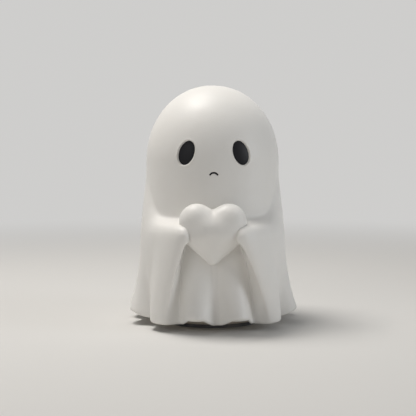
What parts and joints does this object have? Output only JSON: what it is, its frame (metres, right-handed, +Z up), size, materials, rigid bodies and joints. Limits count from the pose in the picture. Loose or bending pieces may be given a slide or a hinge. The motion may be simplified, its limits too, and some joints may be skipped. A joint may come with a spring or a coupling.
{
  "type": "ceramic ghost figure",
  "caption": "Hollow ceramic ghost in a draped sheet with folds, recessed black eyes and mouth, and sleeves that hold a puffy heart; a closed foot lifts the hem off the table.",
  "frame": {"origin": "middle of the foot pad's underside, on the figure's upright axis", "axes": "+Z up from the table to the crown, -Y the way the face looks, +X towards the figure's own left hand"},
  "size_m": [0.0826, 0.0883, 0.12],
  "materials": {
    "white_ceramic": "matte",
    "black_glaze": "satin",
    "raw_clay": "matte",
    "pad_rubber": "matte"
  },
  "bodies": {
    "root": {"sheet_body": "white_ceramic", "left_sleeve": "white_ceramic", "right_sleeve": "white_ceramic", "heart": "white_ceramic", "left_eye": "black_glaze", "right_eye": "black_glaze", "mouth": "black_glaze", "base_disc": "raw_clay", "foot_pad": "pad_rubber"}
  },
  "joints": []
}
